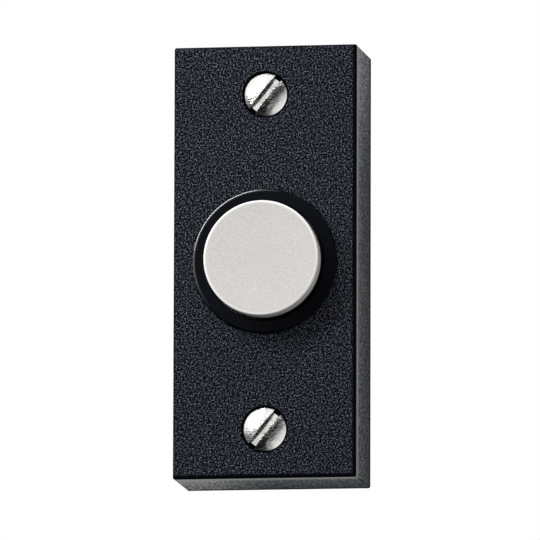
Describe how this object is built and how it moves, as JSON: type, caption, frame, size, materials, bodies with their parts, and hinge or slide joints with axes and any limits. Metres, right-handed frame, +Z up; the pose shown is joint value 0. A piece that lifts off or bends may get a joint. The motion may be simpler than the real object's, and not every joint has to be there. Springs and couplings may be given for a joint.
{
  "type": "doorbell push button",
  "caption": "Surface-mounted doorbell push: textured black oblong case, gloss black collar, round light-grey sprung cap, slotted wall screws, contact set inside.",
  "frame": {"origin": "middle of the back, in the plane of the wall", "axes": "+Y goes into the wall and the push faces -Y; +Z is up along the case; +X is to the right seen from the front"},
  "size_m": [0.03, 0.0297, 0.0702],
  "materials": {
    "case_plastic": "spark-textured moulding",
    "collar_plastic": "polished moulding",
    "cap_plastic": "satin moulding",
    "base_plastic": "plain moulding",
    "screw_plating": "bright nickel plate",
    "spring_steel": "drawn wire",
    "leaf_bronze": "rolled strip",
    "strip_brass": "stamped",
    "tip_silver": "burnished",
    "zinc_steel": "zinc plate"
  },
  "bodies": {
    "case": {"front_cover": "case_plastic", "bezel_ring": "collar_plastic", "base_plate": "base_plastic", "return_spring": "spring_steel", "moving_contact": "leaf_bronze", "moving_contact_tip": "tip_silver", "fixed_contact": "strip_brass", "fixed_contact_tip": "tip_silver", "upper_terminal_screw": "strip_brass", "lower_terminal_screw": "strip_brass", "upper_wire_clamp": "strip_brass", "lower_wire_clamp": "strip_brass", "upper_terminal_nut": "strip_brass", "lower_terminal_nut": "strip_brass", "upper_contact_rivet": "strip_brass", "lower_contact_rivet": "strip_brass", "base_screws": "zinc_steel", "upper_fixing_screw": "screw_plating", "lower_fixing_screw": "screw_plating"},
    "button": {"push_cap": "cap_plastic"}
  },
  "joints": [
    {"name": "button_press", "type": "slide", "parent": "case", "child": "button", "axis": [0, 1, 0], "range_m": [0, 0.002], "stiffness_N_per_m": 570, "springref_m": -0.003, "deforming": ["return_spring", "moving_contact", "moving_contact_tip"]}
  ]
}
